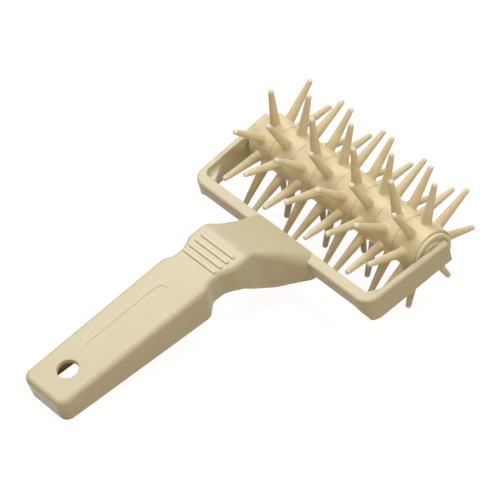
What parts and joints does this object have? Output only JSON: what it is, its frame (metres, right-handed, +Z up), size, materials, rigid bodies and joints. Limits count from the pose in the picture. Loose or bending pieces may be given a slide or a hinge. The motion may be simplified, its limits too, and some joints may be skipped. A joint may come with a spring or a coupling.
{
  "type": "dough docker",
  "caption": "hand tool with a plastic grip and U-shaped yoke, in which a roller of spiked discs spins to prick holes in rolled-out dough",
  "frame": {"origin": "bottom centre of the box round the tool as it lies on a table, on two rows of spikes and on the end of its grip", "axes": "+Y from the end of the grip to the roller, along the tool's length; +X along the roller, from the left arm to the right arm seen from the grip; +Z up"},
  "size_m": [0.13, 0.221, 0.0691],
  "materials": {
    "frame_plastic": "satin cream, lightly grained moulding",
    "disc_plastic": "satin cream, slightly translucent moulding",
    "cap_plastic": "satin cream moulding",
    "bar_plastic": "plain cream moulding"
  },
  "bodies": {
    "frame": {"handle_frame": "frame_plastic"},
    "roller": {"spiked_disc_1": "disc_plastic", "spiked_disc_2": "disc_plastic", "spiked_disc_3": "disc_plastic", "spiked_disc_4": "disc_plastic", "spiked_disc_5": "disc_plastic", "spiked_disc_6": "disc_plastic", "spiked_disc_7": "disc_plastic", "spiked_disc_8": "disc_plastic", "core_bar": "bar_plastic", "end_cap_left": "cap_plastic", "end_cap_right": "cap_plastic"}
  },
  "joints": [
    {"name": "roller_spin", "type": "hinge", "parent": "frame", "child": "roller", "pos_m": [0, 0.07593, 0.03456], "axis": [1, 0, 0], "continuous": true}
  ]
}
